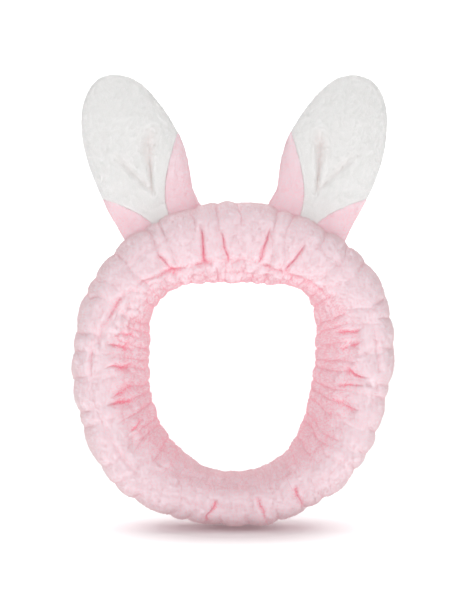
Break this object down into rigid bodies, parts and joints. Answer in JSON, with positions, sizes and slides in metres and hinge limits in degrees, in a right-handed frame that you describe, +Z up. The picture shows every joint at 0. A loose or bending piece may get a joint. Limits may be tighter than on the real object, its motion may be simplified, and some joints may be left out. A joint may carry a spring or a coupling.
{
  "type": "animal ears headband",
  "caption": "Soft gathered fleece headband: a closed elastic loop with stuffed animal ears that flop forwards and backwards where they are sewn on.",
  "frame": {"origin": "middle of the head opening, on its axis, half way between the loop's front and back edges", "axes": "+Z up, from the opening towards the ears; +Y along the opening from front to back; +X towards the wearer's left"},
  "size_m": [0.1948, 0.0644, 0.2702],
  "materials": {
    "pink_fleece": "short, dense coral fleece pile, matt",
    "white_fleece": "short white plush pile, matt",
    "elastic_webbing": "woven elastic webbing",
    "pink_thread": "polyester sewing thread",
    "white_thread": "polyester sewing thread",
    "stuffing": "loose polyester fibre filling"
  },
  "bodies": {
    "band": {"band_cover": "pink_fleece", "elastic_band": "elastic_webbing", "elastic_lap_stitches": "white_thread", "casing_stitch_front": "pink_thread", "casing_stitch_back": "pink_thread", "tube_seam": "pink_thread", "end_seam": "pink_thread", "left_base_stitches": "pink_thread", "right_base_stitches": "pink_thread"},
    "left_ear": {"left_ear_back": "pink_fleece", "left_ear_front": "white_fleece", "left_ear_filling": "stuffing", "left_edge_seam": "pink_thread", "left_pleat_tack": "white_thread"},
    "right_ear": {"right_ear_back": "pink_fleece", "right_ear_front": "white_fleece", "right_ear_filling": "stuffing", "right_edge_seam": "pink_thread", "right_pleat_tack": "white_thread"}
  },
  "joints": [
    {"name": "left_ear_fold", "type": "hinge", "parent": "band", "child": "left_ear", "pos_m": [0.04781, 0, 0.10082], "axis": [0.891, 0, -0.454], "range_deg": [-75, 75], "stiffness_Nm_per_rad": 0.05},
    {"name": "right_ear_fold", "type": "hinge", "parent": "band", "child": "right_ear", "pos_m": [-0.04781, 0, 0.10082], "axis": [0.891, 0, 0.454], "range_deg": [-75, 75], "stiffness_Nm_per_rad": 0.05}
  ]
}
